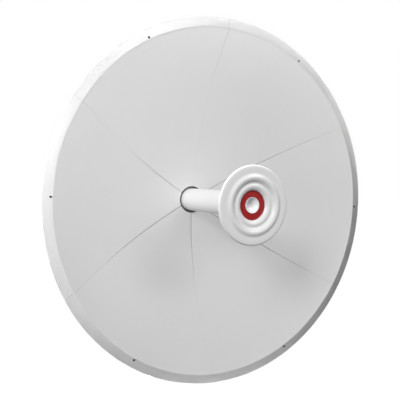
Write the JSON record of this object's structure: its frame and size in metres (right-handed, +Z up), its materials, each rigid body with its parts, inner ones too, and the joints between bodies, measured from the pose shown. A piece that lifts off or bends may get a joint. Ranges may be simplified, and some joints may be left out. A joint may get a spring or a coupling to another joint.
{
  "type": "microwave dish antenna",
  "caption": "Round parabolic microwave dish of pressed white petals on a hub, with a feed tube, a rippled splash disc and a folded yoke with a flat mast plate.",
  "frame": {"origin": "centre of the flat back face of the mast plate, level with the dish's axis", "axes": "-Y the way the dish looks, +Z up, +X to the right as seen from the front"},
  "size_m": [0.65, 0.3669, 0.65],
  "materials": {
    "petal_white": "satin white powder coat",
    "splice_zinc": "zinc plated",
    "hub_aluminium": "as cast",
    "gasket_rubber": "matt",
    "feed_white": "smooth satin",
    "cone_white": "smooth satin",
    "disc_white": "smooth satin",
    "ring_red": "satin",
    "cap_white": "smooth satin",
    "block_grey": "die cast",
    "port_nickel": "nickel plated",
    "dish_yoke_galvanised": "galvanised",
    "mast_yoke_galvanised": "galvanised"
  },
  "bodies": {
    "root": {"petal_1": "petal_white", "petal_2": "petal_white", "petal_3": "petal_white", "petal_4": "petal_white", "petal_5": "petal_white", "petal_6": "petal_white", "rim_splice_1": "splice_zinc", "rim_splice_2": "splice_zinc", "rim_splice_3": "splice_zinc", "rim_splice_4": "splice_zinc", "rim_splice_5": "splice_zinc", "rim_splice_6": "splice_zinc", "hub_casting": "hub_aluminium", "feed_gasket": "gasket_rubber", "feed_tube": "feed_white", "feed_cone": "cone_white", "splash_disc": "disc_white", "red_ring": "ring_red", "centre_cap": "cap_white", "feed_rear_block": "block_grey", "coax_port_1": "port_nickel", "coax_port_2": "port_nickel", "dish_yoke": "dish_yoke_galvanised", "mast_yoke": "mast_yoke_galvanised"}
  },
  "joints": []
}
